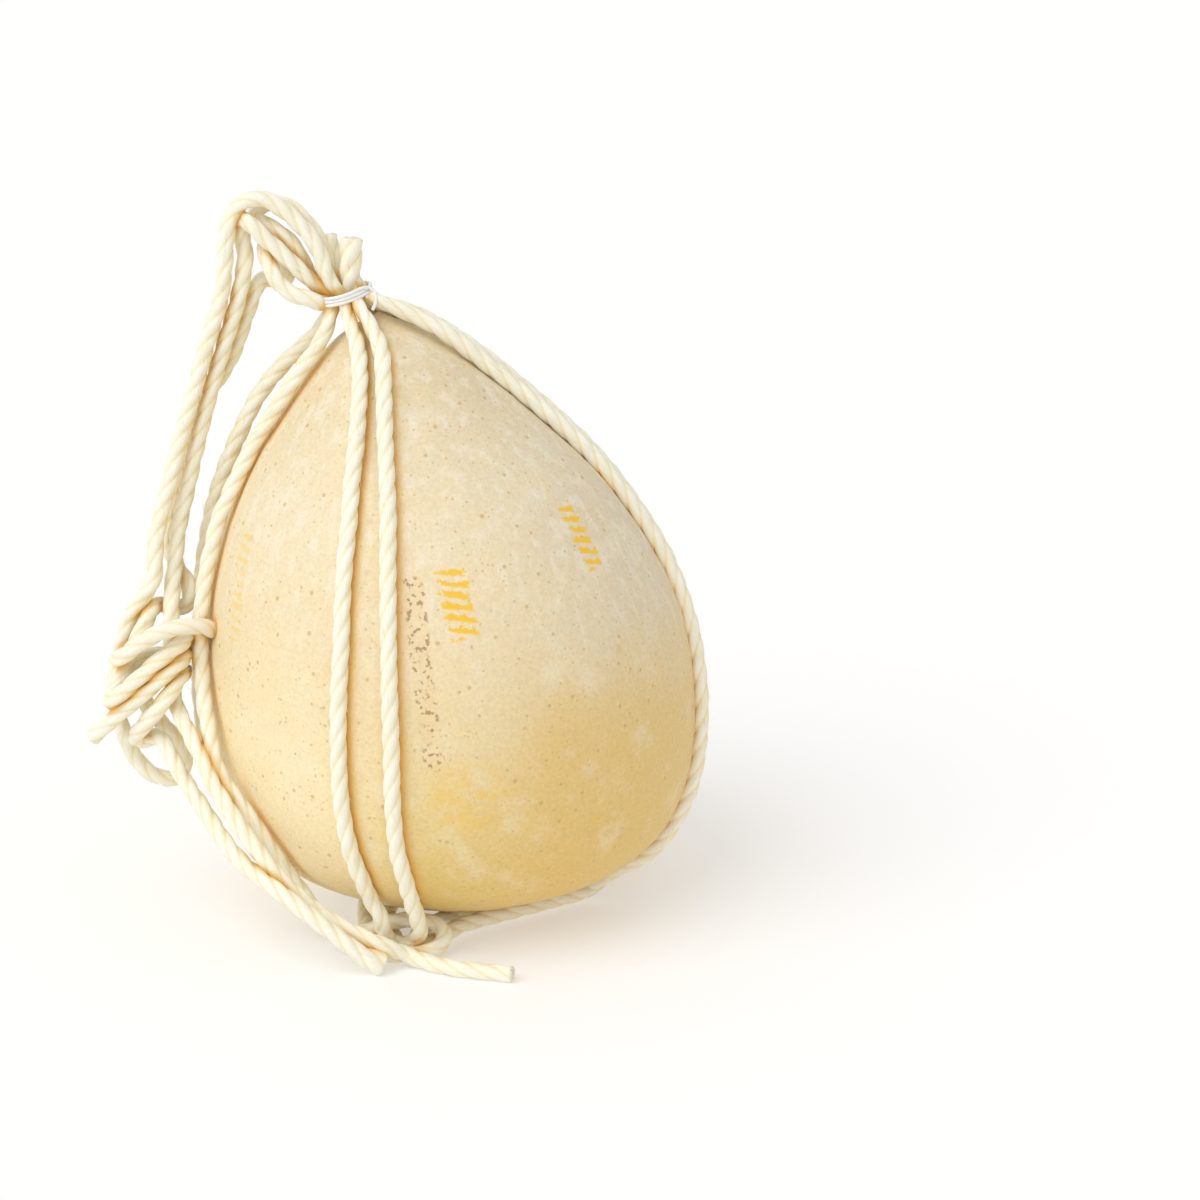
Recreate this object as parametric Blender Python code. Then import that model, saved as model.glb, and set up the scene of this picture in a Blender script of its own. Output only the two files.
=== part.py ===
"""A pear-shaped cheese in a harness of laid cord, with its hanging loop, knots and tails.

Metres, +Z up. The origin is the centre of the small flat spot that the cheese rests on,
+X is to the viewer's right and the front of the cheese faces -Y. The cheese's top leans
towards -X. Cord routes are lists of points in millimetres.
"""

from math import atan2, cos, pi, radians, sin

import bmesh
import bpy
from mathutils import Vector

MM = 0.001

# The cheese: height, how far its top leans, and the outline from foot to tip.
CHEESE_HEIGHT = 180.0
CHEESE_LEAN = 22.0
LEAN_POWER = 2.5
# Height and radius of the outline; the first point is the edge of the flat spot.
OUTLINE = (
    (0, 16), (8, 37.5), (20, 59), (42, 70.2), (70, 72.4),
    (100, 67.4), (130, 52.8), (153, 34.3), (170, 17), (180, 0),
)
OUTLINE_STEPS = 3
CHEESE_SIDES = 48

# The cord: laid in three strands, the same thickness everywhere.
CORD = 5.0
TOUCH_GAP = 0.35
CORD_LIFT = CORD / 2 + TOUCH_GAP + 0.5
CORD_STEP = 14.0
LEG_STEP = 11.0
BUNDLE_STEP = 6.0
KNOT_DIP = 0.14

# The neck of the harness above the tip: its foot, and the way it points.
NECK_FOOT = Vector((-29.4, 0.0, 179.2))
NECK_AXIS = Vector((-0.28, 0.0, 0.96)).normalized()
NECK_RADIUS = 7.2
NECK_TOP_RADIUS = 6.6
NECK_LENGTH = 4.3
TIE_RADIUS = 7.9
TIE_WIDTH = 3.2
LEG_RING = NECK_RADIUS + CORD / 2 + TOUCH_GAP + 0.3

for old in list(bpy.data.objects):
    bpy.data.objects.remove(old, do_unlink=True)


def material(name, colour, roughness):
    mat = bpy.data.materials.new(name)
    mat.use_nodes = True
    surface = mat.node_tree.nodes["Principled BSDF"]
    surface.inputs["Base Color"].default_value = (*colour, 1.0)
    surface.inputs["Roughness"].default_value = roughness
    return mat


RIND = material("rind", (0.86, 0.76, 0.55), 0.55)
CORD_FIBRE = material("cord_fibre", (0.90, 0.85, 0.66), 0.85)
TIE_STRING = material("tie_string", (0.93, 0.92, 0.88), 0.8)


def add_object(name, data, mat):
    data.materials.append(mat)
    obj = bpy.data.objects.new(name, data)
    bpy.context.scene.collection.objects.link(obj)
    return obj


def smooth_points(route, steps):
    """Points along a smooth curve through the route, which also stops at its first and last point."""
    points = [Vector(p) for p in route]
    points = [2 * points[0] - points[1], *points, 2 * points[-1] - points[-2]]
    curve = []
    for a, b, c, d in zip(points, points[1:], points[2:], points[3:]):
        for k in range(steps):
            t = k / steps
            curve.append(
                0.5 * (2 * b + (c - a) * t + (2 * a - 5 * b + 4 * c - d) * t**2
                       + (3 * b - a - 3 * c + d) * t**3)
            )
    curve.append(points[-2])
    return curve


def even_points(route, step):
    """The smooth curve through the route, read off at even distances of about one step."""
    fine = smooth_points(route, 12)
    run = [0.0]
    for a, b in zip(fine, fine[1:]):
        run.append(run[-1] + (b - a).length)
    count = max(3, round(run[-1] / step) + 1)
    even = []
    at = 0
    for k in range(count):
        want = run[-1] * k / (count - 1)
        while at < len(run) - 2 and run[at + 1] < want:
            at += 1
        part = (want - run[at]) / max(run[at + 1] - run[at], 1e-9)
        even.append(fine[at].lerp(fine[at + 1], part))
    return even


# --- the cheese -----------------------------------------------------------------------

PROFILE = smooth_points([(radius, 0.0, height) for height, radius in OUTLINE], OUTLINE_STEPS)


def lean_at(height):
    return -CHEESE_LEAN * (max(height, 0.0) / CHEESE_HEIGHT) ** LEAN_POWER


def outline_at(height):
    """Radius of the cheese at a height, and the outward slope of its outline there."""
    for low, high in zip(PROFILE, PROFILE[1:]):
        if height <= high.z or high is PROFILE[-1]:
            part = (height - low.z) / (high.z - low.z)
            run = (high - low).normalized()
            return low.x + (high.x - low.x) * part, Vector((run.z, 0.0, -run.x))


def on_cheese(turn, height, lift):
    """The point that stands off the cheese by lift, at this turn in degrees and this height."""
    radius, out = outline_at(height)
    reach = radius + out.x * lift
    turn = radians(turn)
    return Vector((lean_at(height) + reach * cos(turn), reach * sin(turn), height + out.z * lift))


def cheese_mesh():
    bm = bmesh.new()
    rings = []
    for point in PROFILE[:-1]:
        ring = []
        for k in range(CHEESE_SIDES):
            turn = 2 * pi * k / CHEESE_SIDES
            x = lean_at(point.z) + point.x * cos(turn)
            ring.append(bm.verts.new(Vector((x, point.x * sin(turn), point.z)) * MM))
        rings.append(ring)
    bm.faces.new(reversed(rings[0]))
    for low, high in zip(rings, rings[1:]):
        for k in range(CHEESE_SIDES):
            n = (k + 1) % CHEESE_SIDES
            bm.faces.new((low[k], low[n], high[n], high[k]))
    tip = bm.verts.new(Vector((lean_at(CHEESE_HEIGHT), 0.0, CHEESE_HEIGHT)) * MM)
    for k in range(CHEESE_SIDES):
        bm.faces.new((rings[-1][k], rings[-1][(k + 1) % CHEESE_SIDES], tip))
    mesh = bpy.data.meshes.new("cheese")
    bm.to_mesh(mesh)
    bm.free()
    mesh.shade_smooth()
    return mesh


def press_channel(cheese, name, start, end, width, height):
    """A straight channel that a pair of cords has pressed into the underside."""
    start, end = Vector((*start, 0)), Vector((*end, 0))
    bpy.ops.mesh.primitive_cube_add(size=1.0)
    cutter = bpy.context.object
    cutter.name = name
    cutter.scale = ((end - start).length * MM, width * MM, 2 * height * MM)
    cutter.rotation_euler = (0, 0, atan2(end.y - start.y, end.x - start.x))
    cutter.location = (start + end) / 2 * MM
    cutter.hide_render = True
    cutter.display_type = "WIRE"
    cut = cheese.modifiers.new(name, "BOOLEAN")
    cut.operation = "DIFFERENCE"
    cut.object = cutter


cheese = add_object("cheese", cheese_mesh(), RIND)


# --- cords ----------------------------------------------------------------------------

def cord_tube(name, route, step=CORD_STEP):
    curve = bpy.data.curves.new(name, "CURVE")
    curve.dimensions = "3D"
    curve.bevel_depth = CORD / 2 * MM
    curve.bevel_resolution = 2
    curve.use_fill_caps = True
    points = even_points(route, step)
    spline = curve.splines.new("POLY")
    spline.points.add(len(points) - 1)
    for spot, point in zip(spline.points, points):
        spot.co = (*(point * MM), 1.0)
    return add_object(name, curve, CORD_FIBRE)


def neck_side(turn):
    """A point beside the foot of the neck, where a leg of the harness begins."""
    across = Vector((0, 1, 0)).cross(NECK_AXIS).normalized()
    turn = radians(turn)
    return NECK_FOOT + LEG_RING * (cos(turn) * across + sin(turn) * Vector((0, 1, 0)))


def harness_leg(name, neck_turn, on_body, below):
    """One leg: from the neck, over the cheese by turn and height, and on through free points."""
    route = [neck_side(neck_turn)]
    for turn, height, *more in on_body:
        route.append(on_cheese(turn, height, CORD_LIFT + sum(more)))
    route.extend(below)
    return cord_tube(name, route, step=LEG_STEP)


# The front pair runs down the face of the cheese, a little left of its middle.
harness_leg(
    "front_cord_1", -123,
    [(-116.6, 170.6), (-110.4, 164.1), (-109.8, 159.5), (-109.5, 150), (-110, 140.6),
     (-110.1, 131), (-110.9, 121), (-111.3, 110.8), (-111.6, 97.9), (-112.6, 84.1),
     (-113.4, 69.7), (-113.9, 54.7), (-113.6, 39), (-112.6, 28.9), (-112.7, 21.1)],
    [(-20.8, -56.8, 13.6)],
)
harness_leg(
    "front_cord_2", -70,
    [(-94.1, 171), (-94.7, 164.4), (-95.7, 159.8), (-97, 150.5), (-97.4, 141.1), (-97.9, 131.7),
     (-98.8, 121.9), (-99.4, 111.8), (-100, 99), (-100.6, 85.5), (-101.1, 71.4), (-101.8, 56.6),
     (-102, 40.9), (-101.2, 30.7), (-100.9, 23.1)],
    [(-10.4, -57.4, 13.6)],
)

# The left pair: the nearer leg lies on the cheese, the other stands off it like a bow.
harness_leg(
    "left_cord_1", -158,
    [(-164, 164), (-168, 153), (-170.5, 139), (-170, 126), (-168, 112), (-165.5, 95),
     (-163.5, 80), (-159.5, 68), (-153.5, 57), (-146.5, 45), (-140, 33)],
    [(-46.6, -46.5, 20), (-39.8, -48, 11.5), (-32.5, -50.5, 5.2), (-26.2, -52.2, 3.4)],
)
harness_leg(
    "left_cord_2", 160,
    [(178, 165, 1), (179, 155, 2.2), (180, 142, 2.8), (180, 128, 2.2), (178, 116, 0.6), (177, 100),
     (179, 82), (184, 68), (191, 55), (199, 43), (207, 31)],
    [(-49, -38.3, 16.5), (-42, -41.2, 8), (-36, -43, 2.85), (-31.2, -44.8, 3)],
)

# The right pair comes down the far flank, turns under and lies in a pressed channel.
harness_leg(
    "right_cord_1", -34,
    [(-5, 174), (-7.5, 165), (-6.5, 150), (-7, 135), (-7.5, 118), (-9, 100), (-10, 80),
     (-10.5, 60), (-10.5, 42), (-10.5, 28), (-11.5, 18), (-12.5, 11)],
    [(38.4, -7.8, 3.2), (21, -20.3, 2.85), (3.7, -32.7, 2.85), (-1, -37.5, 2.85),
     (-4.8, -45.4, 2.85)],
)
harness_leg(
    "right_cord_2", 8,
    [(26, 174), (12, 165), (6, 150), (2.5, 135), (-0.5, 118), (-2, 100), (-2.5, 80), (-2, 60),
     (-1, 42), (0, 28, 0.2), (0, 18, 0.5), (0, 11, 0.6)],
    [(34.4, -2.1, 3.1), (17, -14.5, 2.85), (-0.5, -26.8, 2.85), (-7.8, -34, 2.85),
     (-12, -44.6, 2.85)],
)

# The back pair does the same behind, and comes forward past the foot.
harness_leg(
    "back_cord_1", 50,
    [(58, 171), (66, 160), (69, 140), (71, 115), (72, 90), (74, 65), (78, 42), (83, 28),
     (86, 18), (89, 11)],
    [(-4.4, 38, 3.1), (-11.1, 29.8, 2.85), (-18.3, 20.2, 2.85), (-20.4, 10, 2.85), (-20.4, -12, 2.85),
     (-20.2, -30, 2.85), (-17.9, -45.2, 2.85)],
)
harness_leg(
    "back_cord_2", 92,
    [(86, 171), (84, 160), (82, 140), (82, 115), (83, 90), (85, 65), (89, 42), (94, 28),
     (97, 18), (100, 11)],
    [(-11, 40, 3.1), (-17.4, 33.4, 2.85), (-25.3, 23.3, 2.85), (-27.6, 10, 2.85), (-27.6, -12, 2.85),
     (-27.2, -28, 2.85), (-25.6, -43.5, 2.85)],
)

press_channel(cheese, "right_channel", (46, 1.9), (-10, -38.2), 16.2, 7.6)
press_channel(cheese, "back_channel", (-24, 24), (-24, -44), 16, 7.6)
press_channel(cheese, "back_entry", (-4, 47), (-26, 13), 16.4, 7.6)


# --- neck, tie and knots --------------------------------------------------------------

def turned_band(name, foot, sections, mat, sides=20):
    """A round body about the neck's axis, from distances up it and the radius at each."""
    across = Vector((0, 1, 0)).cross(NECK_AXIS).normalized()
    bm = bmesh.new()
    rings = []
    for up, radius in sections:
        ring = []
        for k in range(sides):
            turn = 2 * pi * k / sides
            side = cos(turn) * across + sin(turn) * Vector((0, 1, 0))
            ring.append(bm.verts.new((foot + NECK_AXIS * up + side * radius) * MM))
        rings.append(ring)
    bm.faces.new(rings[0])
    bm.faces.new(rings[-1])
    for low, high in zip(rings, rings[1:]):
        bmesh.ops.bridge_loops(bm, edges=ring_edges(bm, low) + ring_edges(bm, high))
    bmesh.ops.recalc_face_normals(bm, faces=bm.faces)
    mesh = bpy.data.meshes.new(name)
    bm.to_mesh(mesh)
    bm.free()
    return add_object(name, mesh, mat)


def ring_edges(bm, ring):
    return [
        bm.edges.get((a, b)) or bm.edges.new((a, b))
        for a, b in zip(ring, ring[1:] + ring[:1])
    ]


turned_band(
    "neck", NECK_FOOT,
    [(0, NECK_RADIUS - 1), (1, NECK_RADIUS), (NECK_LENGTH, NECK_TOP_RADIUS)], CORD_FIBRE,
)
turned_band(
    "tie", NECK_FOOT + NECK_AXIS * (NECK_LENGTH + TOUCH_GAP),
    [(0, TIE_RADIUS - 0.8), (0.8, TIE_RADIUS), (TIE_WIDTH - 0.8, TIE_RADIUS),
     (TIE_WIDTH, TIE_RADIUS - 0.8)],
    TIE_STRING,
)


def knot_lump(name, centre, size, tilt=0.0):
    """A knot as one uneven body, out to its outer strands; size is its three half widths."""
    bm = bmesh.new()
    bmesh.ops.create_uvsphere(bm, u_segments=18, v_segments=12, radius=1.0)
    lean = radians(tilt)
    for vert in bm.verts:
        x, y, z = vert.co
        turn = atan2(y, x)
        full = (1 + z * z) ** 0.5
        swell = full - KNOT_DIP * (1 + cos(3 * turn + 4 * z)) / 2 * (1 - z * z)
        x, y, z = x * size[0] * swell, y * size[1] * swell, z * size[2]
        vert.co = (Vector((x * cos(lean) + z * sin(lean), y, z * cos(lean) - x * sin(lean)))
                   + Vector(centre)) * MM
    mesh = bpy.data.meshes.new(name)
    bm.to_mesh(mesh)
    bm.free()
    return add_object(name, mesh, CORD_FIBRE)


def cord_bundle(name, route, thickness):
    """Cords twisted together as one body, whose thickness changes along its route."""
    bundle = cord_tube(name, route, step=BUNDLE_STEP)
    points = bundle.data.splines[0].points
    for k, point in enumerate(points):
        at = k / (len(points) - 1) * (len(thickness) - 1)
        low = min(int(at), len(thickness) - 2)
        wide = thickness[low] + (thickness[low + 1] - thickness[low]) * (at - low)
        point.radius = wide / CORD
    return bundle


cord_bundle(
    "top_knot",
    [(-35, 0.4, 189.2), (-38.1, 0.6, 193.3), (-43, 1, 197.9), (-48.7, 1.2, 202.6),
     (-54.3, 1, 207.1), (-59.7, 0.4, 207.2), (-62.4, 0.2, 202.8), (-62.1, 0.6, 198),
     (-61.7, 0.8, 194.4)],
    (6, 9.5, 14.5, 17.5, 18, 17.5, 16, 15.5, 15),
)
knot_lump("left_knot", (-89.3, -19.8, 82.5), (11, 9.8, 23), tilt=6)
knot_lump("base_knot", (-14.5, -52, 6.9), (10.2, 6.2, 6.5))


# --- free cords -----------------------------------------------------------------------

# Three cords hang from the top knot to the left knot.
cord_tube("hanging_cord_1", [
    (-65.9, -3.3, 192.2), (-66.5, -3.4, 188.6), (-67.4, -3.5, 184.2), (-71.4, -3.7, 172.3),
    (-74.7, -4.8, 160.7), (-78.3, -6, 149), (-81.5, -7.6, 137.3), (-84.7, -9.8, 125.8),
    (-87.3, -12.4, 114.5), (-87.9, -15.1, 105.8),
])
cord_tube("hanging_cord_2", [
    (-60.9, -0.4, 192.6), (-61.7, -0.8, 189.5), (-64.7, -1, 177.6), (-68.2, -1.4, 165.8),
    (-71.9, -2.2, 153.9), (-75.1, -3.2, 142.1), (-77.9, -4.5, 130.4), (-80.7, -6.4, 118.7),
    (-82.1, -9.2, 107.3),
])
cord_tube("hanging_cord_3", [
    (-55.7, 4.6, 190.8), (-56.9, 3.8, 187.1), (-60.9, 3.6, 176.4), (-65.7, 3.3, 164.5),
    (-73.8, 3, 152.5), (-77.9, 2, 140.6), (-81.1, 0.6, 128.9), (-83.8, -1.6, 117.3),
    (-83.2, -2.4, 106.1), (-79.7, -6.8, 101), (-79.2, -9, 98.7),
])

# Two tails fall from the left knot, pass under the belly and lie out in front.
cord_tube("tail_1", [
    (-87.1, -24.2, 60.2), (-85.5, -25.6, 56.6), (-83, -28.6, 53.1), (-80.2, -31.5, 48.5),
    (-76.2, -35.5, 43.8), (-71.8, -40.5, 39.1), (-67.4, -46.4, 34.6), (-62.4, -52.6, 30.8),
    (-57.1, -58.8, 28.3), (-52, -62.6, 25.8), (-46.7, -65, 22.7), (-42.4, -66, 19.4),
    (-37.5, -66.8, 15.7), (-33, -67.2, 12.2), (-28.7, -68.2, 8.9), (-25, -68, 6), (-21.2, -65.5, 3.4),
])
cord_tube("tail_2", [
    (-81, -25.4, 66.5), (-78.6, -29, 62.8), (-75.7, -33, 58.4), (-72.6, -37.4, 53.8),
    (-70.1, -41, 48.9), (-66.9, -45, 45.5), (-63, -49, 40.5), (-58.8, -52, 35.8), (-54.7, -55, 31.1),
    (-50, -57, 26), (-44.9, -57.6, 21), (-39.2, -58.6, 16.4), (-32.8, -60.4, 12.8),
    (-26.4, -62.2, 10.1), (-20, -63.6, 7.9), (-13.6, -60.4, 3.8), (-6.8, -64.5, 3), (2, -68.7, 2.9),
    (10.6, -70.9, 2.9), (17, -72.4, 2.9),
])

# What else leaves the left knot: a cut end, and a small loop that hangs below it.
cord_tube("cut_end", [(-100.1, -28, 64.3), (-103.9, -27.6, 60.8), (-106.6, -27.4, 58.2)], step=5.0)
cord_tube("knot_loop", [
    (-99.3, -16.8, 59.9), (-97.9, -15.5, 54.2), (-96.2, -15, 49.7), (-93.1, -15, 44.9),
    (-89, -15, 41.8), (-84.9, -14.6, 40.7),
], step=7.0)

# The cut end of a harness cord stands up above the tie.
cord_tube("neck_stub", [(-29.7, 1.4, 189.5), (-29.6, 1.2, 194.9), (-29.4, 1.2, 200.8)], step=6.0)
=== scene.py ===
"""A whole pear-shaped provolone in its rope harness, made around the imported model.

Sizes and places are in millimetres, and MM makes them metres where Blender needs them. The cheese
stands on the floor at the origin, its shown front faces -Y and its top leans towards -X.
"""

from math import cos, pi, radians, sin

import bmesh
import bpy
import numpy as np
from mathutils import Matrix, Vector, noise
from mathutils.kdtree import KDTree


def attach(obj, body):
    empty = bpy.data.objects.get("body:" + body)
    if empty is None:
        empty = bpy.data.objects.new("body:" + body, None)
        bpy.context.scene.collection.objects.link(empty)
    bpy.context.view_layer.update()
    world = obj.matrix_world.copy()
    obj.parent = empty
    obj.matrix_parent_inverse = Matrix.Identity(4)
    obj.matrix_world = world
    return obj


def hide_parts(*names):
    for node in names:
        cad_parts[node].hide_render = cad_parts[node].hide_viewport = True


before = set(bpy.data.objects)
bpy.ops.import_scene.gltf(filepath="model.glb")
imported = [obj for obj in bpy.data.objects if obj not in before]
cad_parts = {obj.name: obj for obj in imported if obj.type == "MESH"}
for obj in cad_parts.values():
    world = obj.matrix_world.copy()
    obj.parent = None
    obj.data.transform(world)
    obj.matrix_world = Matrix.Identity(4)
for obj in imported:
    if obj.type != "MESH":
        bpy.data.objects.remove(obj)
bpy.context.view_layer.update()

MM = 0.001
scene = bpy.context.scene


# --- The view -------------------------------------------------------------------------
# A long lens looks down on the cheese a little from the front. The middle of the view lies
# to the right of the cheese, which stands in the left half of the picture.

VIEW_CENTRE = Vector((42.2, 0.0, 92.0))
VIEW_DISTANCE = 1300.0
LOOKING_DOWN = radians(18)
LENS = 131.8

camera_data = bpy.data.cameras.new("view")
camera_data.lens = LENS
camera_data.sensor_width = 36.0
camera = bpy.data.objects.new("view", camera_data)
scene.collection.objects.link(camera)
towards_camera = Vector((0.0, -cos(LOOKING_DOWN), sin(LOOKING_DOWN)))
camera.location = (VIEW_CENTRE + towards_camera * VIEW_DISTANCE) * MM
camera.rotation_euler = (pi / 2 - LOOKING_DOWN, 0.0, 0.0)
scene.camera = camera


# --- The loose ropes: hanging ropes, knots and tails ------------------------------------
# Three ropes of undyed hemp, each laid in three strands, come up out of the tie, turn over in
# the top knot and hang down to the left knot, which is tied round a rope of the harness. Two
# go on as tails that lie in front of the foot, and the third ends in the knot as a cut end.

CORD = 5.0
LAY_LENGTH = 22.0
STRAND_THICK = 1.5
STRAND_WIDE = 1.68
CORD_SIDES = 48
RING_STEP = 0.65
YARNS_AROUND = 22
YARN_RIDGE = 0.08
# Painted shade: the side of each rope that faces this way, away from the light, is tinted yellow in the
# material.
SHADED_SIDE = np.array((0.78, 0.25, -0.57))
CURVE_STEPS = 24


def even_route(route, step=RING_STEP, softened=24):
    """Places at even distances along a smooth curve through a route's points."""
    points = np.array(route, float)
    points = np.vstack([2 * points[0] - points[1], points, 2 * points[-1] - points[-2]])
    t = np.linspace(0, 1, CURVE_STEPS, endpoint=False)[:, None]
    pieces = [
        0.5 * (2 * b + (c - a) * t + (2 * a - 5 * b + 4 * c - d) * t**2
               + (3 * b - a - 3 * c + d) * t**3)
        for a, b, c, d in zip(points, points[1:], points[2:], points[3:])
    ]
    fine = np.vstack([*pieces, points[-2:-1]])
    for _ in range(2):
        run = np.concatenate([[0], np.cumsum(np.linalg.norm(np.diff(fine, axis=0), axis=1))])
        at = np.linspace(0, run[-1], round(run[-1] / step) + 1)
        fine = np.stack([np.interp(at, run, fine[:, axis]) for axis in range(3)], axis=1)
        for _ in range(softened // 2):
            fine[1:-1] = (fine[:-2] + 2 * fine[1:-1] + fine[2:]) / 4
    return fine


def frames_along(line):
    """The direction of a line at each place, and two directions across it that don't twist."""
    ahead = np.gradient(line, axis=0)
    ahead /= np.linalg.norm(ahead, axis=1)[:, None]
    side = np.zeros_like(line)
    first = np.cross(ahead[0], (0.3, 1.0, 0.2))
    side[0] = first / np.linalg.norm(first)
    for k in range(1, len(line)):
        carried = side[k - 1] - ahead[k] * (side[k - 1] @ ahead[k])
        side[k] = carried / np.linalg.norm(carried)
    return ahead, side, np.cross(ahead, side)


def strand_outline(turn, strands=3):
    """Distance from a cord's middle to its surface, at an angle from the crown of a strand."""
    span = 2 * pi / strands
    turn = (turn + span / 2) % span - span / 2
    middle = CORD / 2 - STRAND_THICK
    a = np.cos(turn) ** 2 / STRAND_THICK**2 + np.sin(turn) ** 2 / STRAND_WIDE**2
    b = middle * np.cos(turn) / STRAND_THICK**2
    c = middle**2 / STRAND_THICK**2 - 1
    return (b + np.sqrt(np.maximum(b**2 - a * c, 0.0))) / a


CROWN = strand_outline(np.array([0.0]))[0]
VALLEY = strand_outline(np.array([pi / 3]))[0]


def laid_cord(name, line, thickness=(CORD,), turned=0.0, seed=1, fibres=1.0, start="cut"):
    """A three-strand cord as one mesh along a line, with cut ends and a few loose fibres."""
    rng = np.random.default_rng(seed)
    ahead, side, up = frames_along(line)
    run = np.concatenate([[0], np.cumsum(np.linalg.norm(np.diff(line, axis=0), axis=1))])
    around = np.linspace(0, 2 * pi, CORD_SIDES, endpoint=False)
    turn = around[None, :] - (2 * pi * run / LAY_LENGTH + turned)[:, None]
    reach = strand_outline(turn)
    groove = np.clip((CROWN - reach) / (CROWN - VALLEY), 0, 1)
    wander = 0.5 * np.sin(run / 7.0 + seed)[:, None]
    yarn = np.abs(np.cos(YARNS_AROUND / 2 * around[None, :] + wander + 0.06 * turn))
    reach = reach - YARN_RIDGE * (1 - yarn) * (1 - groove)
    slow = sum(
        depth * np.sin(run / length + rng.uniform(0, 2 * pi))
        for depth, length in ((0.012, 9.0), (0.010, 4.1), (0.006, 1.7))
    )
    size = np.interp(run / run[-1], np.linspace(0, 1, len(thickness)), thickness) / CORD
    reach = reach * (size * (1 + slow))[:, None]
    across = (np.cos(around)[None, :, None] * side[:, None, :]
              + np.sin(around)[None, :, None] * up[:, None, :])
    rings = line[:, None, :] + reach[:, :, None] * across
    # How far each point faces away from the light, kept for painted shade in the material.
    lee = np.clip(across @ SHADED_SIDE, 0, 1) ** 1.5
    place = np.zeros_like(rings)
    place[:, :, 0] = np.cos(around) * CROWN
    place[:, :, 1] = np.sin(around) * CROWN
    place[:, :, 2] = run[:, None]

    # Each cut end is closed by a ragged ring inside the last one, and a middle point.
    for end, way in ((0, -1.0), (-1, 1.0)):
        ragged = rng.uniform(0.1, 0.7, (CORD_SIDES, 1)) * way * ahead[end]
        inner = line[end] + (reach[end] * 0.72)[:, None] * across[end] + ragged
        ring = inner[None]
        here = place[end][None] * (0.7, 0.7, 1.0)
        if end == 0:
            rings, place = np.vstack([ring, rings]), np.vstack([here, place])
            groove = np.vstack([groove[:1] * 0 + 0.35, groove])
            lee = np.vstack([lee[:1], lee])
        else:
            rings, place = np.vstack([rings, ring]), np.vstack([place, here])
            groove = np.vstack([groove, groove[:1] * 0 + 0.35])
            lee = np.vstack([lee, lee[-1:]])
    count = len(rings)
    points = rings.reshape(-1, 3)
    middles = np.array([line[0] - ahead[0] * 0.2, line[-1] + ahead[-1] * 0.2])
    points = np.vstack([points, middles])
    places = np.vstack([place.reshape(-1, 3), [[0, 0, 0]], [[0, 0, run[-1]]]])
    grooves = np.concatenate([groove.ravel(), [0.6, 0.6]])
    painted_shade_sides = np.concatenate([lee.ravel(), [0.0, 0.0]])
    k = np.arange(count - 1)[:, None] * CORD_SIDES
    j = np.arange(CORD_SIDES)[None, :]
    n = (j + 1) % CORD_SIDES
    quads = np.stack([k + j, k + n, k + CORD_SIDES + n, k + CORD_SIDES + j], axis=-1)
    faces = quads.reshape(-1, 4).tolist()
    last = (count - 1) * CORD_SIDES
    for s in range(CORD_SIDES):
        e = (s + 1) % CORD_SIDES
        faces.append([e, s, count * CORD_SIDES])
        faces.append([last + s, last + e, count * CORD_SIDES + 1])

    # Loose fibres: hair-thin, along the cord, lifting off its surface.
    hairs = int(run[-1] * FIBRES_PER_MM * fibres)
    hair_points, hair_places, hair_faces = [], [], []
    base = len(points)
    for _ in range(hairs):
        k0 = rng.integers(2, len(line) - 12) if len(line) > 20 else 1
        length = rng.uniform(2.0, 6.0)
        angle = rng.uniform(0, 2 * pi)
        drift = rng.uniform(-0.5, 0.5)
        lift = rng.uniform(0.25, 1.3)
        for s in range(HAIR_RINGS):
            part = s / (HAIR_RINGS - 1)
            at = min(k0 + int(part * length / RING_STEP), len(line) - 1)
            a = angle + drift * part
            out = np.cos(a) * side[at] + np.sin(a) * up[at]
            tangent = -np.sin(a) * side[at] + np.cos(a) * up[at]
            surface = strand_outline(np.array([a - 2 * pi * run[at] / LAY_LENGTH - turned]))[0]
            middle = line[at] + out * (surface * size[at] - 0.15 + lift * part**1.6)
            wide = HAIR_WIDTH * (1 - 0.6 * part)
            hair_points += [middle + out * wide, middle - out * wide * 0.5 + tangent * wide,
                            middle - out * wide * 0.5 - tangent * wide]
            hair_places += [(np.cos(a) * CROWN, np.sin(a) * CROWN, run[at])] * 3
            if s:
                b = base + len(hair_points) - 6
                hair_faces += [[b, b + 1, b + 4, b + 3], [b + 1, b + 2, b + 5, b + 4],
                               [b + 2, b, b + 3, b + 5]]
            else:
                b = base + len(hair_points) - 3
                hair_faces.append([b + 2, b + 1, b])
        b = base + len(hair_points) - 3
        hair_faces.append([b, b + 1, b + 2])
    if hairs:
        points = np.vstack([points, hair_points])
        places = np.vstack([places, hair_places])
        grooves = np.concatenate([grooves, np.full(len(hair_points), 0.1)])
        painted_shade_sides = np.concatenate([painted_shade_sides, np.zeros(len(hair_points))])
        faces += hair_faces

    mesh = bpy.data.meshes.new(name)
    mesh.from_pydata((points * MM).tolist(), [], faces)
    mesh.attributes.new("fibre_place", "FLOAT_VECTOR", "POINT").data.foreach_set(
        "vector", places.astype(np.float32).ravel())
    mesh.attributes.new("groove", "FLOAT", "POINT").data.foreach_set(
        "value", grooves.astype(np.float32))
    mesh.attributes.new("lee", "FLOAT", "POINT").data.foreach_set(
        "value", painted_shade_sides.astype(np.float32))
    mesh.shade_smooth()
    obj = bpy.data.objects.new(name, mesh)
    scene.collection.objects.link(obj)
    return obj


FIBRES_PER_MM = 1.1
HAIR_RINGS = 5
HAIR_WIDTH = 0.06


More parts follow.
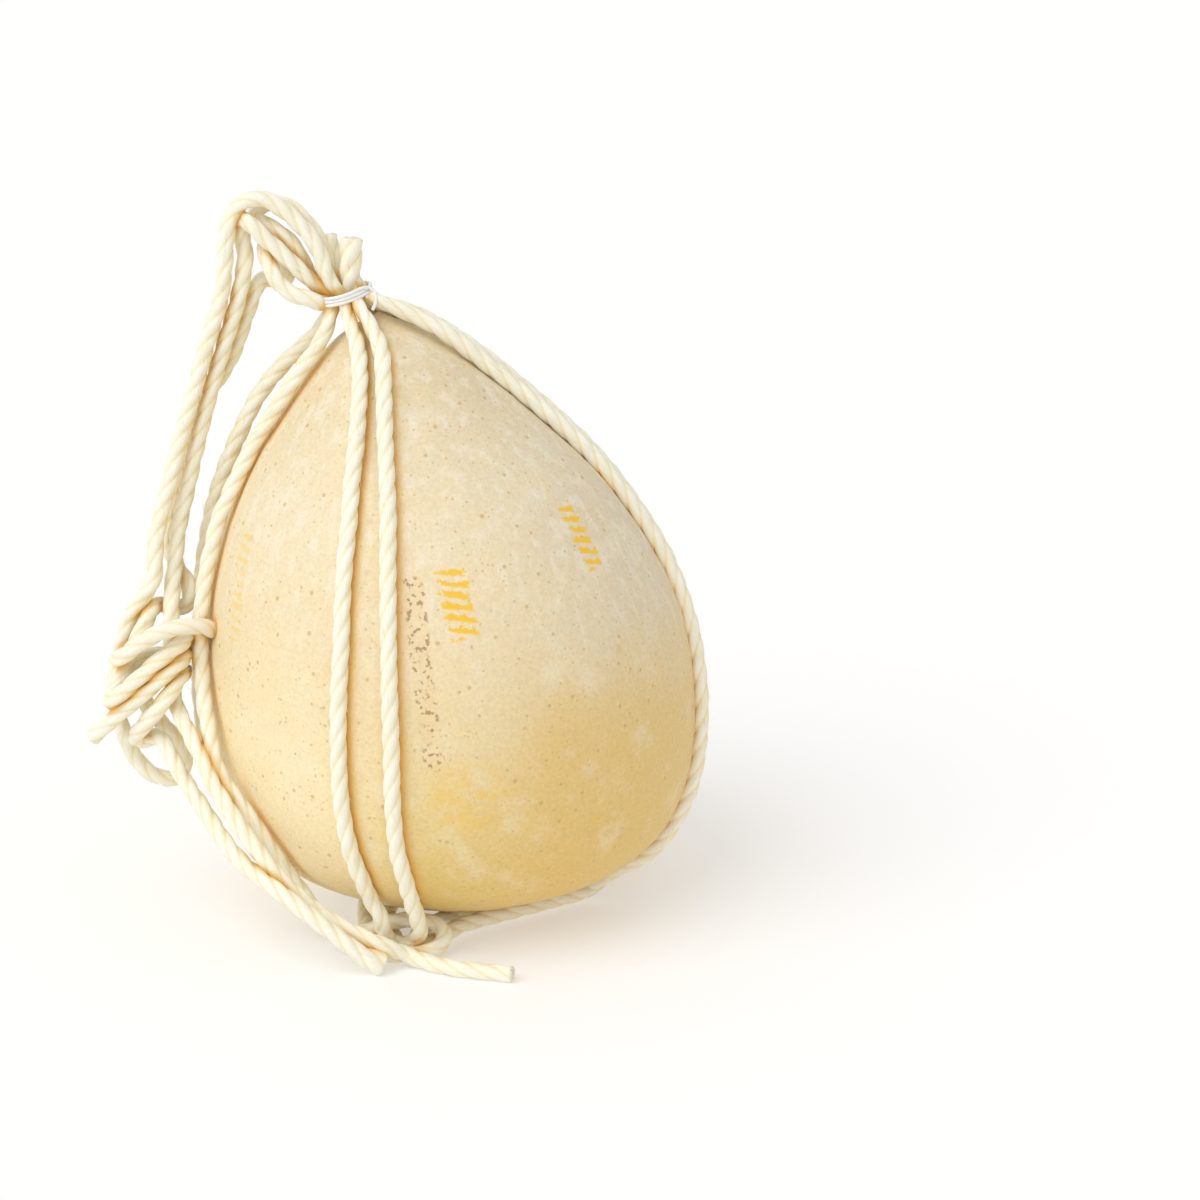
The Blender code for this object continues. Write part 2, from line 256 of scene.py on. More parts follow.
def add_node(tree, kind, inputs=None, **settings):
    """Adds a shader node; an input is a value, or another node's output that feeds it."""
    made = tree.nodes.new(kind)
    for name, value in settings.items():
        setattr(made, name, value)
    for name, value in (inputs or {}).items():
        if isinstance(value, bpy.types.NodeSocket):
            tree.links.new(value, made.inputs[name])
        else:
            made.inputs[name].default_value = value
    return made


def mixed(tree, factor, a, b, how="MIX"):
    """One colour mixed into another by a factor."""
    made = tree.nodes.new("ShaderNodeMix")
    made.data_type = "RGBA"
    made.blend_type = how
    for socket, value in ((0, factor), (6, a), (7, b)):
        if isinstance(value, bpy.types.NodeSocket):
            tree.links.new(value, made.inputs[socket])
        else:
            made.inputs[socket].default_value = value
    return made.outputs[2]


def maths(tree, how, a, b=0.0, clamp=False):
    """One sum on values."""
    made = add_node(tree, "ShaderNodeMath", {0: a, 1: b}, operation=how)
    made.use_clamp = clamp
    return made.outputs[0]


def between(tree, value, low, high, out_low=0.0, out_high=1.0):
    """A value taken from one range to another with soft ends."""
    made = add_node(
        tree, "ShaderNodeMapRange",
        {"Value": value, "From Min": low, "From Max": high, "To Min": out_low, "To Max": out_high},
        interpolation_type="SMOOTHSTEP",
    )
    return made.outputs[0]


def fibre_group():
    """Fine fibres that run along a cord: a tone and a relief, from a place in the cord."""
    group = bpy.data.node_groups.new("fibres", "ShaderNodeTree")
    group.interface.new_socket("Place", in_out="INPUT", socket_type="NodeSocketVector")
    group.interface.new_socket("Fineness", in_out="INPUT", socket_type="NodeSocketFloat")
    group.interface.new_socket("Tone", in_out="OUTPUT", socket_type="NodeSocketFloat")
    group.interface.new_socket("Relief", in_out="OUTPUT", socket_type="NodeSocketFloat")
    source = group.nodes.new("NodeGroupInput")
    result = group.nodes.new("NodeGroupOutput")
    drawn = add_node(
        group, "ShaderNodeMapping", {"Vector": source.outputs["Place"], "Scale": (1.0, 1.0, 0.11)})
    fine = add_node(
        group, "ShaderNodeTexNoise",
        {"Vector": drawn.outputs[0], "Scale": source.outputs["Fineness"], "Detail": 3.0})
    coarse = add_node(
        group, "ShaderNodeTexNoise",
        {"Vector": drawn.outputs[0], "Scale": maths(group, "MULTIPLY", source.outputs["Fineness"],
                                                    0.3), "Detail": 2.0})
    tone = maths(group, "ADD", maths(group, "MULTIPLY", fine.outputs[0], 0.55),
                 maths(group, "MULTIPLY", coarse.outputs[0], 0.45))
    group.links.new(tone, result.inputs["Tone"])
    group.links.new(between(group, fine.outputs[0], 0.3, 0.7), result.inputs["Relief"])
    return group


FIBRES = fibre_group()
ROPE_PALE = (0.98, 0.96, 0.86, 1)
ROPE_STRAW = (0.94, 0.885, 0.68, 1)
ROPE_SHADE_YELLOW = (0.93, 0.76, 0.37, 1)
ROPE_SHADE_AMBER = (0.80, 0.50, 0.12, 1)


def rope_material():
    mat = bpy.data.materials.new("undyed_hemp")
    mat.use_nodes = True
    tree = mat.node_tree
    shader = tree.nodes["Principled BSDF"]
    place = add_node(tree, "ShaderNodeAttribute", attribute_name="fibre_place").outputs["Vector"]
    groove = add_node(tree, "ShaderNodeAttribute", attribute_name="groove").outputs["Fac"]
    fibres = add_node(tree, "ShaderNodeGroup", node_tree=FIBRES)
    tree.links.new(place, fibres.inputs["Place"])
    fibres.inputs["Fineness"].default_value = 3.2
    patches = add_node(
        tree, "ShaderNodeTexNoise", {"Vector": place, "Scale": 0.13, "Detail": 2.0}).outputs[0]
    tone = between(tree, maths(tree, "ADD", maths(tree, "MULTIPLY", fibres.outputs["Tone"], 0.7),
                               maths(tree, "MULTIPLY", patches, 0.3)), 0.36, 0.66)
    colour = mixed(tree, tone, ROPE_STRAW, ROPE_PALE)
    lee = add_node(tree, "ShaderNodeAttribute", attribute_name="lee").outputs["Fac"]
    crowded = add_node(tree, "ShaderNodeAttribute", attribute_name="crowded").outputs["Fac"]
    # Painted shade: yellow in the strand grooves and on the side of each rope turned away from the
    # light.
    depth = maths(tree, "MULTIPLY", between(tree, groove, 0.3, 1.0), 0.55)
    depth = maths(tree, "ADD", depth, maths(tree, "MULTIPLY", lee, 0.75), clamp=True)
    colour = mixed(tree, depth, colour, ROPE_SHADE_YELLOW)
    # Painted shade: amber where the rope is pressed against other ropes or the cheese, broken up by the
    # patches.
    amber = between(tree, maths(tree, "ADD", crowded, maths(
        tree, "MULTIPLY", maths(tree, "SUBTRACT", patches, 0.5), 0.5)), 0.15, 1.0, 0.0, 0.95)
    colour = mixed(tree, amber, colour, ROPE_SHADE_AMBER)
    tree.links.new(colour, shader.inputs["Base Color"])
    bump = add_node(
        tree, "ShaderNodeBump",
        {"Height": fibres.outputs["Relief"], "Distance": 0.12 * MM, "Strength": 0.6})
    tree.links.new(bump.outputs[0], shader.inputs["Normal"])
    shader.inputs["Roughness"].default_value = 0.85
    shader.inputs["Specular IOR Level"].default_value = 0.25
    shader.inputs["Sheen Weight"].default_value = 0.15
    shader.inputs["Sheen Roughness"].default_value = 0.5
    return mat


HEMP = rope_material()

# The neck that the ropes come out of: its foot, the way it points, and the tie's place on it.
NECK_FOOT = np.array((-29.4, 0.0, 179.2))
NECK_AXIS = np.array((-0.28, 0.0, 0.96))

# Each loose rope in order: out of the tie, over in the top knot, down, through the left knot.
ROPE_1 = [
    (-30.1, -1, 182.7), (-31.5, -1.5, 184.6), (-33.8, -1.5, 186.7), (-36.1, -1.5, 189.3),
    (-37.2, -1.5, 192.6), (-38.2, -1.2, 196.4), (-39.9, -1, 200.5), (-42.7, -0.8, 204.3),
    (-47, -0.6, 208.6), (-50.9, -0.6, 211.7), (-54.9, -0.8, 213.7), (-58.9, -1.4, 213.5),
    (-62.3, -2.2, 211.3), (-64.4, -2.8, 207.4), (-65.3, -3.1, 201.8), (-65.8, -3.3, 196),
    (-66.3, -3.4, 190.1), (-67.4, -3.5, 184.2), (-69.2, -3.5, 178.3), (-71.4, -3.7, 172.3),
    (-73, -4.2, 166.5), (-74.7, -4.8, 160.7), (-76.5, -5.4, 154.8), (-78.3, -6, 149),
    (-80, -6.8, 143.2), (-81.5, -7.6, 137.3), (-83, -8.6, 131.6), (-84.7, -9.8, 125.8),
    (-86.2, -11, 120.1), (-87.3, -12.4, 114.5), (-87.6, -14, 108.8), (-87.6, -15.6, 104.2),
    (-89.1, -16.6, 101.1), (-92, -17, 97.6), (-94.9, -16.5, 93.1), (-96.6, -15.5, 87.2),
    (-98.4, -14.7, 80.8), (-100, -15.8, 74.3), (-100.8, -17.5, 69.9), (-100.6, -18.4, 65.3),
    (-99.4, -17, 60.4), (-98, -15.5, 54.9), (-96.2, -15, 49.7), (-93.1, -15, 44.9), (-89, -15, 41.8),
    (-85, -14.5, 40.7), (-81.7, -13.5, 41.9), (-80.5, -12.8, 45.4), (-81.4, -12, 49.2),
    (-83.3, -12.5, 53.2), (-86.5, -14.5, 57.6), (-90.1, -15.5, 62.7), (-92.9, -15.5, 68),
    (-94.1, -13.6, 72.9), (-92.5, -10.5, 76.9), (-89, -9.2, 78.9), (-85.2, -9.4, 77.4),
    (-82.4, -11.5, 75.3), (-80, -16, 75.3), (-79.2, -21, 77), (-80, -25, 76.5), (-81.9, -27.4, 74.3),
    (-84.5, -28.4, 70.6), (-88.5, -28.2, 65.6), (-92, -26.4, 61), (-94.4, -22.8, 57.2),
    (-93.5, -19.8, 54.5), (-90.8, -20, 55.5), (-87.8, -22.5, 57.7), (-85.5, -25.4, 56.6),
    (-83, -28.6, 53.1), (-80.2, -31.5, 48.5), (-76.2, -35.5, 43.8), (-71.8, -40.5, 39.1),
    (-67.4, -46, 34.4), (-62.5, -51.5, 30.3), (-57.2, -56.5, 27.4), (-52.1, -61, 25.1),
    (-46.8, -63.6, 22.2), (-42.5, -65, 19), (-37.6, -66, 15.4), (-33, -66.8, 12), (-28.7, -67.4, 8.6),
    (-25.1, -67, 5.6), (-21.2, -65, 3.2),
]
ROPE_2 = [
    (-30.5, 1, 182.2), (-32.5, 1, 183.7), (-36.5, 0.5, 185.9), (-40.5, -0.5, 188.2),
    (-43.5, -1.8, 191.8), (-46.8, -2.6, 195.2), (-51, -3.2, 199.5), (-54.9, -3.6, 203.1),
    (-58.3, -3.6, 207), (-60.7, -1.4, 208.2), (-61.5, 1.8, 204.8), (-60.9, 1.8, 200.7),
    (-60.1, 0.4, 196.9), (-60.4, -0.4, 193.2), (-61.2, -0.8, 189.5), (-62.5, -1, 183.6),
    (-64.4, -1, 177.6), (-66.4, -1.2, 171.7), (-68.2, -1.4, 165.8), (-70.2, -1.8, 159.9),
    (-71.9, -2.2, 153.9), (-73.5, -2.6, 148), (-75.1, -3.2, 142.1), (-76.6, -3.8, 136.2),
    (-77.9, -4.5, 130.4), (-79.3, -5.4, 124.5), (-80.7, -6.4, 118.7), (-81.7, -7.6, 113),
    (-82.1, -9.2, 107.3), (-82.8, -11.6, 102), (-83, -15, 97.5), (-82.9, -19, 93.3),
    (-82.9, -21.3, 89.1), (-83, -21.4, 83.6), (-83.1, -21, 78), (-83, -21.6, 72.6), (-82.1, -23.4, 68),
    (-80.5, -26.2, 65.2), (-78.6, -29, 62.8), (-75.7, -33, 58.4), (-72.6, -37.4, 53.8),
    (-70.1, -41, 48.9), (-66.9, -45, 45.5), (-63, -49, 40.5), (-58.8, -52, 35.8), (-54.7, -55, 31.1),
    (-50, -57, 26), (-44.9, -57.6, 21), (-39.2, -58.6, 16.4), (-32.8, -60.4, 12.8),
    (-26.4, -62.2, 10.1), (-20, -63.6, 7.9), (-13.6, -60, 3.6), (-6.8, -63.8, 2.7), (1.9, -67.9, 2.6),
    (10.6, -70.1, 2.6), (16.9, -71.6, 2.6),
]
ROPE_3 = [
    (-29.8, 2.5, 182.1), (-31.2, 3, 184.7), (-34.1, 3.8, 188), (-36.1, 4.4, 191.8), (-37.2, 4.8, 195.8),
    (-38.8, 5, 199.9), (-41.7, 5, 204.1), (-45.3, 5, 208.2), (-49, 4.8, 210.9), (-53, 4.6, 211.1),
    (-56.8, 4.4, 209.8), (-58.3, 4.2, 207.5), (-56, 3.6, 205.6), (-52.5, 2.4, 204.1), (-48.7, 1.2, 202),
    (-45.3, 1.4, 197.5), (-42.8, 2.8, 191.6), (-41.1, 4.2, 187.6), (-38.8, 4.6, 184.6),
    (-36.8, 3.2, 182.2), (-36.8, -0.6, 182), (-38.9, -3.8, 183.7), (-42, -4.6, 184.8),
    (-45.8, -4.4, 185.8), (-49.5, -4, 188), (-51.9, -3.2, 191.5), (-53.5, -2, 195.4),
    (-54.8, 0.6, 198.6), (-54.1, 3.6, 200), (-51.6, 5, 197), (-48.9, 5.2, 192.8), (-48.1, 5.8, 189),
    (-50.6, 7.4, 186.6), (-53.8, 7.6, 187.7), (-55.9, 5.4, 188.8), (-57.3, 3.4, 187.2),
    (-59, 3.4, 182.5), (-61.2, 3.4, 176.5), (-63.2, 3.5, 170.5), (-65.7, 3.3, 164.5),
    (-69.6, 3.2, 158.5), (-73.8, 3, 152.5), (-76.3, 2.6, 146.6), (-77.9, 2, 140.6), (-79.6, 1.4, 134.7),
    (-81.1, 0.6, 128.9), (-82.5, -0.4, 123), (-83.8, -1.6, 117.3), (-84.5, -2.6, 111.4),
    (-83.4, -4, 106.3), (-81.2, -6, 102.6), (-78.5, -8, 99.6), (-77.5, -10, 96.5), (-79.3, -10.6, 93.3),
    (-83, -9.6, 92.4), (-86.1, -10.4, 94.5), (-88.2, -15.2, 95.1), (-90, -19.2, 92.1),
    (-91.9, -21.4, 88.6), (-94, -22.2, 84.5), (-95.9, -22.6, 79.7), (-97.8, -22.6, 74.8),
    (-99.7, -22.8, 70.5), (-101.4, -25, 68.5), (-100, -28.4, 70), (-96.9, -28.9, 73), (-93, -29, 76.4),
    (-88.5, -28.8, 80.6), (-84.2, -27.8, 84), (-80.4, -26.4, 86.4), (-78.4, -22.5, 87.4),
    (-78.8, -18, 87.4), (-81.4, -15.6, 87.2), (-85.3, -15, 87.4), (-89.7, -15, 85.5),
    (-93.5, -16, 82.7), (-97.2, -18.2, 80.7), (-98.9, -22.8, 81), (-96.8, -27.4, 83.5),
    (-93.8, -28.9, 86.2), (-89.6, -29.4, 89.4), (-85.8, -29.4, 91.5), (-82, -29, 92.6),
    (-78.1, -28, 93.2), (-74.2, -25.8, 92.5), (-71.1, -21.8, 90.2), (-70.2, -16.8, 87.3),
    (-72.3, -12.8, 84.5), (-75.7, -11.8, 82.9), (-78.5, -13.6, 82.2), (-78.7, -18, 81.9),
    (-79.1, -23, 81.7), (-81.3, -27, 80.6), (-84.9, -28, 77.6), (-89.4, -28.4, 73.7),
    (-93.9, -28.4, 69.7), (-98.4, -28, 65.9), (-103, -27.6, 61.7), (-106.3, -27.4, 58.5),
]


def loose_rope(name, route, nodes, seed, swell):
    """One loose rope from the tie to its far end."""
    line = even_route(route)
    rope = laid_cord(name, line, swell, seed=seed, turned=seed)
    rope.data.materials.append(HEMP)
    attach(rope, "root")
    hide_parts(*nodes)
    return rope, line


SQUEEZED = (3.6, 4.4, *[CORD] * 34)
FRAYED_END = (3.6, 4.4, *[CORD] * 64, 5.4, 7.6)
LOOSE_ROPES = (
    ("hanging_rope_1", ROPE_1, ("hanging_cord_1", "tail_1", "left_knot", "top_knot"), 1),
    ("hanging_rope_2", ROPE_2, ("hanging_cord_2", "tail_2"), 2),
    ("hanging_rope_3", ROPE_3, ("hanging_cord_3", "cut_end", "knot_loop"), 3),
)
pressing = []
for name, route, nodes, seed in LOOSE_ROPES:
    rope, line = loose_rope(name, route, nodes, seed, FRAYED_END if seed == 1 else SQUEEZED)
    pressing.append((rope, line))


# --- The harness: four pairs of legs ----------------------------------------------------
# Each pair is one rope that leaves the tie, runs down the cheese, turns in a bight at the
# front of the foot and comes back up. The left, right and back pairs reach that place low
# down, the last two through channels that they have pressed under the cheese.

CHEESE_HEIGHT = 180.0
CHEESE_LEAN = 22.0
LEAN_POWER = 2.5
OUTLINE = (
    (0, 16), (8, 37.5), (20, 59), (42, 70.2), (70, 72.4),
    (100, 67.4), (130, 52.8), (153, 34.3), (170, 17), (180, 0),
)
REST_LIFT = CORD / 2 - 0.1


def lean_at(height):
    return -CHEESE_LEAN * (np.maximum(height, 0.0) / CHEESE_HEIGHT) ** LEAN_POWER


def profile_line(step):
    """The cheese's outline from the flat spot to the tip, as radius and height."""
    route = [(radius, 0.0, height) for height, radius in OUTLINE]
    return even_route(route, step, softened=6)[:, [0, 2]]


PROFILE = profile_line(0.5)


def on_cheese(turn, height, lift):
    """The point that stands off the cheese by lift, at this turn in degrees and this height."""
    k = min(int(np.searchsorted(PROFILE[:, 1], height)), len(PROFILE) - 2)
    slope = PROFILE[k + 1] - PROFILE[k - 1]
    slope /= np.linalg.norm(slope)
    radius = np.interp(height, PROFILE[:, 1], PROFILE[:, 0]) + slope[1] * lift
    turn = radians(turn)
    return (lean_at(height) + radius * cos(turn), radius * sin(turn), height - slope[0] * lift)


def at_neck(turn, up, out):
    """A point beside the neck: this turn round it, this far up and out."""
    across = np.cross((0.0, 1.0, 0.0), NECK_AXIS)
    turn = radians(turn)
    return tuple(NECK_FOOT + NECK_AXIS * up
                 + out * (cos(turn) * across + sin(turn) * np.array((0.0, 1.0, 0.0))))


def from_tie(turn):
    """The start of a leg, inside the tie."""
    return [at_neck(turn, up, out) for up, out in ((9.5, 3.6), (6.0, 4.6), (2.0, 6.6))]


def on_body(places):
    """Points of a rope that rests on the cheese, from turns, heights and any extra lift."""
    return [on_cheese(turn, height, REST_LIFT + sum(more)) for turn, height, *more in places]


HARNESS = {
    "front": (
        [
            (-31.4, -4.6, 184.5), (-30.7, -6.4, 180.8), (-29.2, -9.2, 177.6),
            *on_body([(-116.6, 170.6), (-110.4, 164.1), (-109.8, 159.5), (-109.5, 150), (-110, 140.6),
                 (-110.1, 131), (-110.9, 121), (-111.3, 110.8), (-111.6, 97.9), (-112.6, 84.1),
                 (-113.4, 69.7), (-113.9, 54.7), (-113.6, 39), (-112.6, 28.9), (-112.7, 21.1)]),
        ],
        [(-20.8, -56.8, 13.4), (-20.6, -54.3, 8), (-18.5, -51.3, 4), (-15.3, -50, 2.6),
         (-11.8, -51.3, 4), (-10, -54.6, 8.4), (-10.4, -57.4, 13.4)],
        [
            (-28.2, -5, 184.9), (-26.7, -6.8, 182.1), (-24.6, -9.2, 179.4),
            *on_body([(-94.1, 171), (-94.7, 164.4), (-95.7, 159.8), (-97, 150.5), (-97.4, 141.1),
                 (-97.9, 131.7), (-98.8, 121.9), (-99.4, 111.8), (-100, 99), (-100.6, 85.5),
                 (-101.1, 71.4), (-101.8, 56.6), (-102, 40.9), (-101.2, 30.7), (-100.9, 23.1)]),
        ],
    ),
    "left": (
        [
            (-34.4, -1.6, 184), (-35.3, -3.2, 180.6), (-36.5, -4.8, 176.8), (-38.1, -6, 173.2),
            (-40.2, -6.8, 169.9), (-44.6, -7.2, 164), (-50.3, -7.6, 155.4), (-56, -7.9, 146.5),
            (-58, -8, 143.5), (-60.8, -8.6, 137.6), (-63.8, -9.4, 131.8), (-66.4, -10.4, 126),
            (-69.1, -11.9, 120.4), (-70.4, -13.3, 114.7), (-71.8, -14.7, 109.1), (-73, -16.1, 103.4),
            (-73.8, -17.5, 97.7), (-74.2, -18.8, 92), (-74.5, -20, 86.2), (-74.5, -21.2, 80.5),
            (-74, -23.5, 75.1), (-73.5, -25.8, 69.7), (-72.4, -28.7, 64.6), (-71.3, -32, 59.6),
            (-70.1, -35.1, 54.5), (-67.7, -38, 49.4), (-63.8, -40.6, 44.8), (-61.5, -41.7, 41.8),
            (-58.6, -42.9, 38.2), (-56, -44.2, 34.3), (-53.1, -45, 30), (-50, -45, 25),
            (-46.6, -45, 20),
        ],
        [(-39.8, -48, 11.5), (-32.5, -50.5, 5.2), (-26.5, -53.5, 3), (-20, -56.6, 2.55),
         (-12, -57.2, 2.55), (-5.4, -55.2, 3.2), (-2.4, -51, 6), (-5.5, -47.8, 8.4),
         (-13, -46.8, 9.2), (-20, -47, 8.3), (-26, -46.2, 5.2), (-31.2, -44.8, 2.8),
         (-36, -42.6, 3.2), (-42, -40.7, 7.6), (-49, -37.8, 16)],
        [
            (-34.9, 1.6, 183.2), (-36.5, 3.4, 178.9), (-39.1, 4.8, 173.7), (-42.9, 4.4, 169.6),
            (-46.1, 3.4, 166.9), (-49.6, 2.6, 164.1), (-53.4, 1.8, 159.8), (-57, 1.2, 155.1),
            (-60, 0.8, 150.1), (-62.5, 0.5, 144.7), (-64.6, 0.3, 140.2), (-66.5, 0.1, 135.7),
            (-68.3, 0, 131.2), (-69.9, 0, 126.6), (-71.2, 0.3, 122.2), (-72.6, 1, 116.5),
            (-74.2, 1.8, 108.5), (-75.5, 2.3, 100.6),
            *on_body([(177, 90), (179, 80), (184, 67), (191, 54), (199, 42), (207, 31)]),
        ],
    ),
    "right": (
        [
            (-28, -2, 185.3), (-26, -2.6, 185.8), (-23.6, -3.1, 184.8), (-21, -3.4, 183.7),
            (-18.2, -3.5, 182.4), (-14.7, -3.4, 180.9), (-11, -3.2, 179.1), (-7, -3, 177.1),
            (-4.1, -2.9, 175.6),
            *on_body([(-4, 165), (-1, 150, -0.3), (1, 135, -0.6), (1.5, 118, -0.9), (0.5, 100, -1.1),
                      (-1.5, 80, -1.2), (-4, 60, -1.2), (-7, 42, -1), (-9, 28, -0.7),
                      (-11, 18, -0.3), (-12.5, 11)]),
        ],
        [(38.4, -7.8, 3), (21, -20.3, 2.6), (3.7, -32.7, 2.6), (-1, -37.5, 2.6),
         (-4.6, -45, 2.6), (-6.3, -48.3, 2.6), (-9.4, -48.6, 2.6), (-11.8, -45.6, 2.6),
         (-7.8, -34, 2.6), (-0.5, -26.8, 2.6), (17, -14.5, 2.6), (34.4, -2.1, 2.9)],
        [
            *from_tie(12),
            *on_body([(24, 175, 0.8), (16, 165), (12, 150, -0.4), (10, 135, -0.7), (8.5, 118, -1),
                      (6.5, 100, -1.2), (4, 80, -1.2), (2, 60, -1.2), (0.5, 42, -1), (0, 28, -0.6),
                      (0, 18), (0, 11)]),
        ],
    ),
    "back": (
        [
            *from_tie(50),
            *on_body([(58, 172), (66, 160), (69, 140), (71, 115), (72, 90), (74, 65), (78, 42),
                      (83, 28), (86, 18), (89, 11)]),
        ],
        [(-4.4, 38, 3), (-11.1, 29.8, 2.6), (-18.3, 20.2, 2.6), (-20.4, 10, 2.6),
         (-20.4, -12, 2.6), (-20.2, -30, 2.6), (-17.9, -44.6, 2.6), (-19.4, -48, 2.6),
         (-23.4, -47.8, 2.6), (-25.6, -44, 2.6), (-27.2, -28, 2.6), (-27.6, -12, 2.6),
         (-27.6, 10, 2.6), (-25.3, 23.3, 2.6), (-17.4, 33.4, 2.6), (-11, 40, 3)],
        [
            *from_tie(92),
            *on_body([(86, 172), (84, 160), (82, 140), (82, 115), (83, 90), (85, 65), (89, 42),
                      (94, 28), (97, 18), (100, 11)]),
        ],
    ),
}
LEG_SQUEEZE = (3.8, 4.6, *[CORD] * 46, 4.6, 3.8)

for k, (name, (down, bight, up_again)) in enumerate(HARNESS.items()):
    line = even_route([*down, *bight, *reversed(up_again)])
    rope = laid_cord(f"{name}_pair", line, LEG_SQUEEZE, seed=11 + k, turned=1.3 * k)
    rope.data.materials.append(HEMP)
    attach(rope, "root")
    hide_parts(f"{name}_cord_1", f"{name}_cord_2", "neck", "base_knot")
    pressing.append((rope, line))


# --- The cut ends and the string tie ----------------------------------------------------
# Two cut ends of the harness ropes stand up out of the neck. Thin white cotton string is wound
# round it three times and tied off at the right, where its two short ends show.

STUBS = (
    ("cut_stub_right", [(-30.2, 0.5, 183), (-30, 0.5, 188), (-29.9, 0.8, 194.4), (-29.5, 1.2, 201)],
     (3.8, 5.4, 6.4, 6.8, 6.9)),
    ("cut_stub_left", [(-33, 3.4, 184), (-34.2, 5.6, 189.4), (-35.6, 7.2, 195), (-36.6, 8, 200.4)],
     (3.8, 4.8, 5.3, 5.6)),
)
for k, (name, route, swell) in enumerate(STUBS):
    line = even_route(route)
    stub = laid_cord(name, line, swell, seed=31 + k, turned=2.0 * k, fibres=2.5)
    stub.data.materials.append(HEMP)
    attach(stub, "root")
    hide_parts("neck_stub")

STRING = 1.05
TIE_TURNS = 3
TIE_FOOT = 4.7


def tie_material():
    mat = bpy.data.materials.new("white_cotton")
    mat.use_nodes = True
    tree = mat.node_tree
    shader = tree.nodes["Principled BSDF"]
    place = add_node(tree, "ShaderNodeAttribute", attribute_name="fibre_place").outputs["Vector"]
    fibres = add_node(tree, "ShaderNodeGroup", node_tree=FIBRES)
    tree.links.new(place, fibres.inputs["Place"])
    fibres.inputs["Fineness"].default_value = 4.0
    colour = mixed(tree, fibres.outputs["Tone"], (0.86, 0.85, 0.82, 1), (0.97, 0.97, 0.96, 1))
    tree.links.new(colour, shader.inputs["Base Color"])
    bump = add_node(
        tree, "ShaderNodeBump",
        {"Height": fibres.outputs["Relief"], "Distance": 0.05 * MM, "Strength": 0.5})
    tree.links.new(bump.outputs[0], shader.inputs["Normal"])
    shader.inputs["Roughness"].default_value = 0.8
    shader.inputs["Specular IOR Level"].default_value = 0.2
    return mat


def scaled_cord(name, route, diameter, seed):
    """A thin laid string, made at the rope's size and brought down to its own."""
    grow = CORD / diameter
    line = even_route(np.array(route) * grow, step=RING_STEP * 2.2)
    string = laid_cord(name, line, (CORD,), seed=seed, fibres=0.25)
    string.data.transform(Matrix.Scale(1 / grow, 4))
    return string


coil = []
for k in range(TIE_TURNS * 16 + 1):
    turn = 360 * k / 16 - 40
    up = TIE_FOOT + 0.95 * STRING * k / 16
    coil.append(at_neck(turn, up, 7.4 + 0.12 * sin(k * 1.7)))
coil += [(-23.4, -3.4, 187.6), (-22.3, -4.6, 185.6), (-22.5, -5.6, 183.6), (-23.4, -6, 181.8)]
tie = scaled_cord("string_tie", coil, STRING, 41)
tie.data.materials.append(tie_material())
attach(tie, "root")
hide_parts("tie")


# --- Where ropes crowd together -----------------------------------------------------------
# Painted shade: where ropes press on each other or on the cheese, light would reach them only
# through the fibres, and the material turns them amber there. Each rope's surface is marked with
# how closed in it is.

CROWD_REACH = 3.4
CROWD_SIDES = 12
OWN_RINGS = 16


def mark_crowding(rope, line, start):
    """Marks a rope's vertices from 0, open, to 1, pressed against something."""
    ahead, side, up = frames_along(line)
    around = np.linspace(0, 2 * pi, CROWD_SIDES, endpoint=False)
    shut = np.zeros((len(line), CROWD_SIDES))
    for k in range(0, len(line), 2):
        for j, angle in enumerate(around):
            spot = line[k] + (np.cos(angle) * side[k] + np.sin(angle) * up[k]) * CORD / 2
            nearest = CROWD_REACH
            for _, index, distance in tree_of_lines.find_range(spot, CORD / 2 + CROWD_REACH):
                if abs(index - start - k) > OWN_RINGS:
                    nearest = min(nearest, distance - CORD / 2)
            shut[k, j] = 1 - max(nearest, 0.0) / CROWD_REACH
    shut[1::2] = shut[0:-1:2][:len(shut[1::2])]
    for _ in range(2):
        shut[1:-1] = (shut[:-2] + 2 * shut[1:-1] + shut[2:]) / 4
    whole = np.linspace(0, 2 * pi, CORD_SIDES, endpoint=False)
    fine = np.array([np.interp(whole, around, row, period=2 * pi) for row in shut])
    rows = np.vstack([fine[:1], fine, fine[-1:]])
    marks = np.zeros(len(rope.data.vertices))
    marks[:rows.size] = rows.ravel()
    rope.data.attributes.new("crowded", "FLOAT", "POINT").data.foreach_set(
        "value", (marks ** 1.3).astype(np.float32))


every_line = np.vstack([line for _, line in pressing])
tree_of_lines = KDTree(len(every_line))
for k, point in enumerate(every_line):
    tree_of_lines.insert(point, k)
tree_of_lines.balance()
start = 0
for rope, line in pressing:
    mark_crowding(rope, line, start)
    start += len(line)


# --- The cheese -------------------------------------------------------------------------
# A whole provolone, hand-shaped like a pear, under a firm pale rind that is yellower low down
# and greyer at the upper right, with painted shadow in amber beside the ropes. The ropes have
# pressed into it. It has small freckles, two columns of worn yellow dabs, a faint third, and a
# column of brown specks.

CHEESE_SIDES = 320
CHEESE_RINGS = 254
PRESS_REACH = 9.0
PRESS_SOFTNESS = 0.9

bpy.ops.object.select_all(action="DESELECT")
bpy.ops.mesh.primitive_uv_sphere_add(segments=CHEESE_SIDES, ring_count=CHEESE_RINGS, radius=1.0)
cheese = bpy.context.object
cheese.name = "cheese_body"

